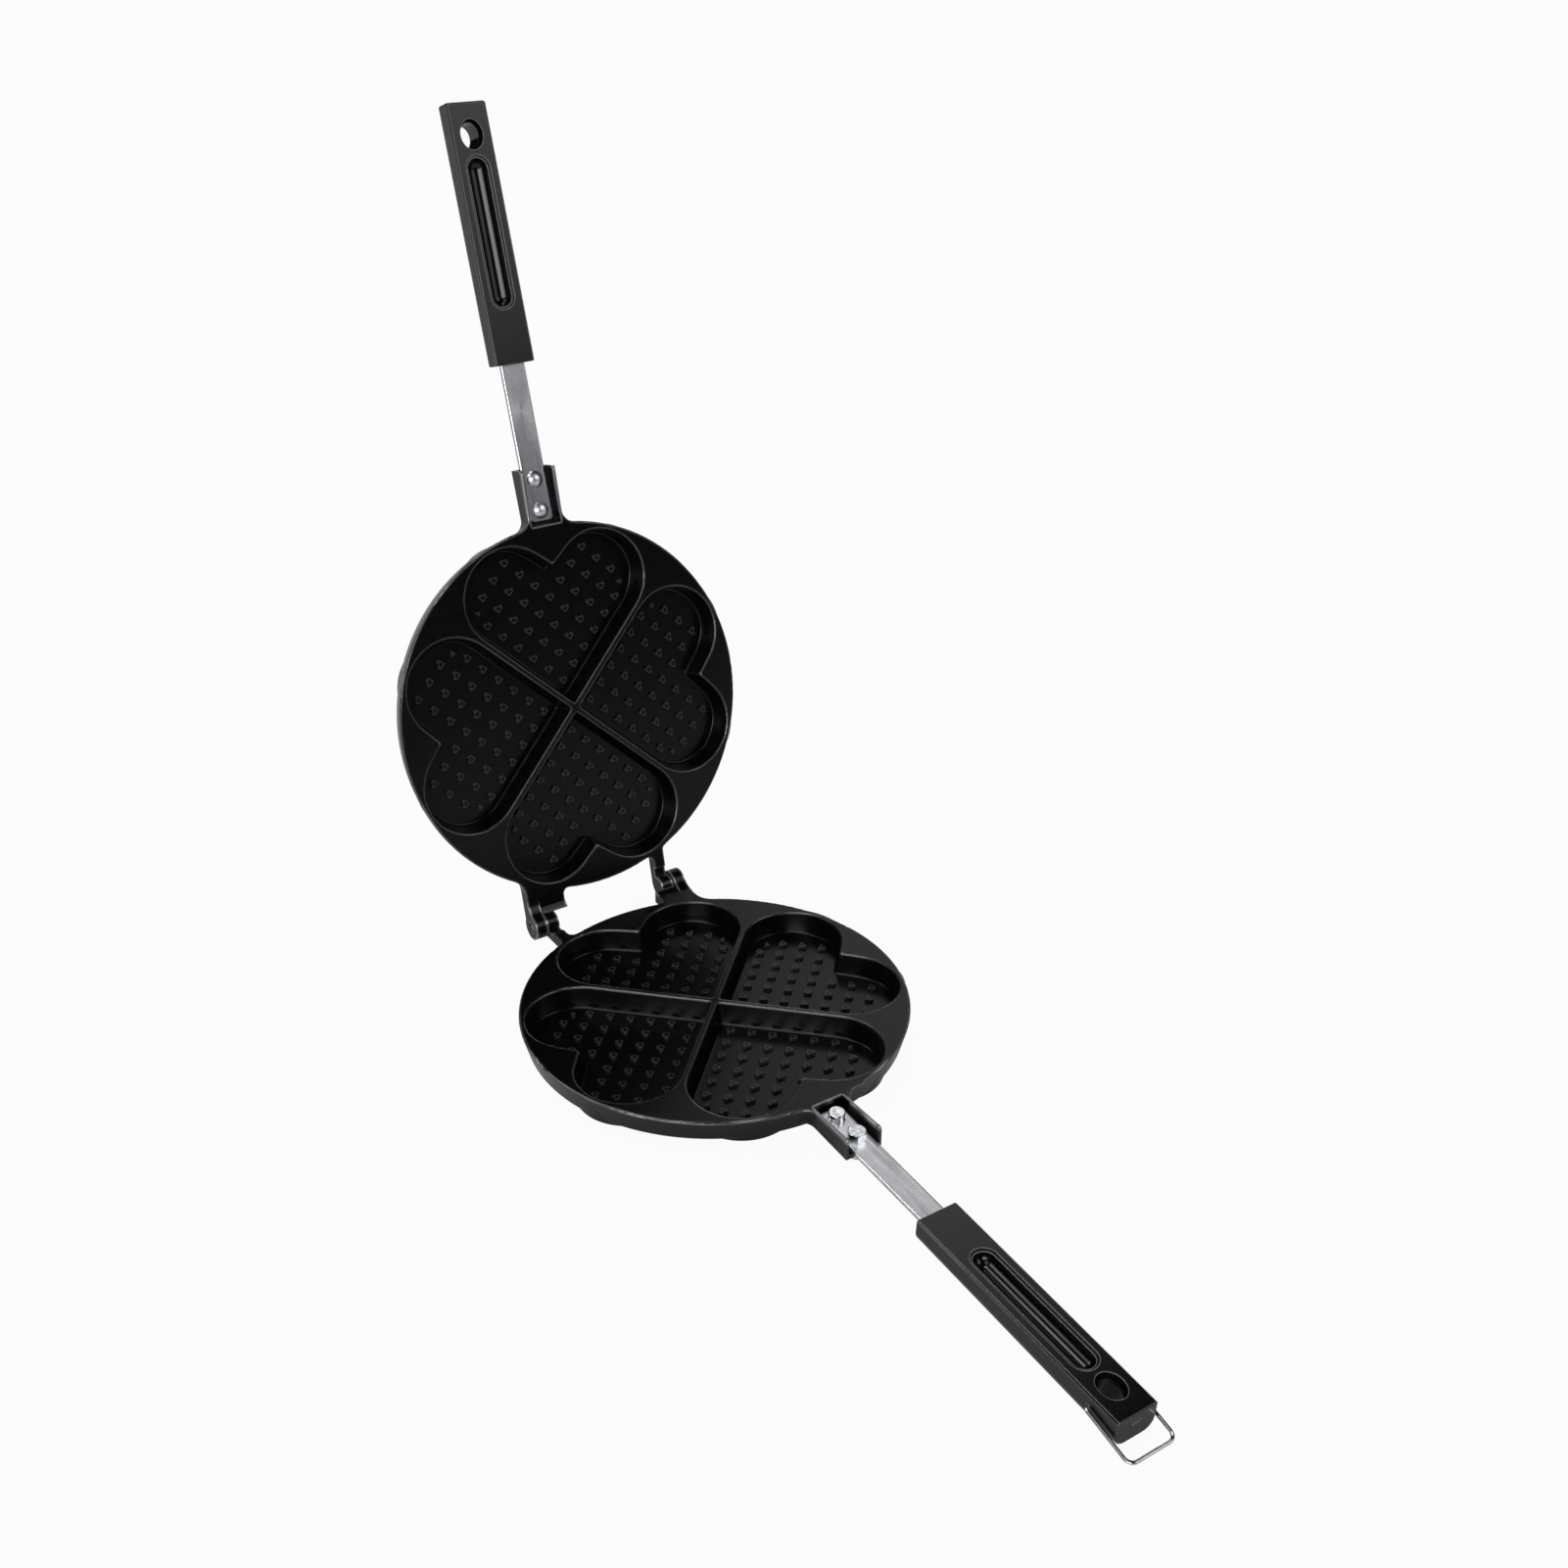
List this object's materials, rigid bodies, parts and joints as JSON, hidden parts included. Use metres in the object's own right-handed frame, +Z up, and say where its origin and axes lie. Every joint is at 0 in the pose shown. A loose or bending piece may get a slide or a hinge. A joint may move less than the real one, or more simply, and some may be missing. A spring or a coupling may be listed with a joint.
{
  "type": "stovetop waffle iron",
  "caption": "Hinged stovetop waffle iron with heart-shaped pans, studded pan floors, riveted steel arms, long moulded handles and a wire bail.",
  "frame": {"origin": "centre of the lower plate's flat hub, on the burner face that rests on the stove", "axes": "+X along the hinge pins toward the lower plate's wide lug, +Y from the plate's centre toward the hinge with the handles toward -Y, +Z up out of the lower plate's cooking face"},
  "size_m": [0.196, 0.5468, 0.4322],
  "materials": {
    "coated_casting": "cast aluminium under a black non-stick coating, satin",
    "bakelite": "moulded black phenolic, glossy",
    "strip_steel": "bright rolled steel strip",
    "rivet_steel": "bright plated rivet",
    "zinc_steel": "zinc plated",
    "wire_steel": "bright drawn wire",
    "pin_steel": "plain steel pin"
  },
  "bodies": {
    "lower": {"lower_plate": "coated_casting", "lower_strip": "strip_steel", "lower_handle": "bakelite", "lower_cheese_rivet": "rivet_steel", "lower_hex_bolt": "zinc_steel", "lower_spring_washer": "zinc_steel", "lower_hex_nut": "zinc_steel", "left_hinge_pin": "pin_steel"},
    "lid": {"upper_plate": "coated_casting", "upper_strip": "strip_steel", "upper_handle": "bakelite", "upper_inner_rivet": "rivet_steel", "upper_outer_rivet": "rivet_steel", "right_hinge_pin": "pin_steel"},
    "bail": {"wire_bail": "wire_steel"}
  },
  "joints": [
    {"name": "lid_hinge", "type": "hinge", "parent": "lower", "child": "lid", "pos_m": [0, 0.1113, 0.0141], "axis": [1, 0, 0], "range_deg": [0, 102.7]},
    {"name": "bail_swing", "type": "hinge", "parent": "lower", "child": "bail", "pos_m": [0, -0.28821, -0.00683], "axis": [1, 0, 0], "range_deg": [-172, 146]}
  ]
}
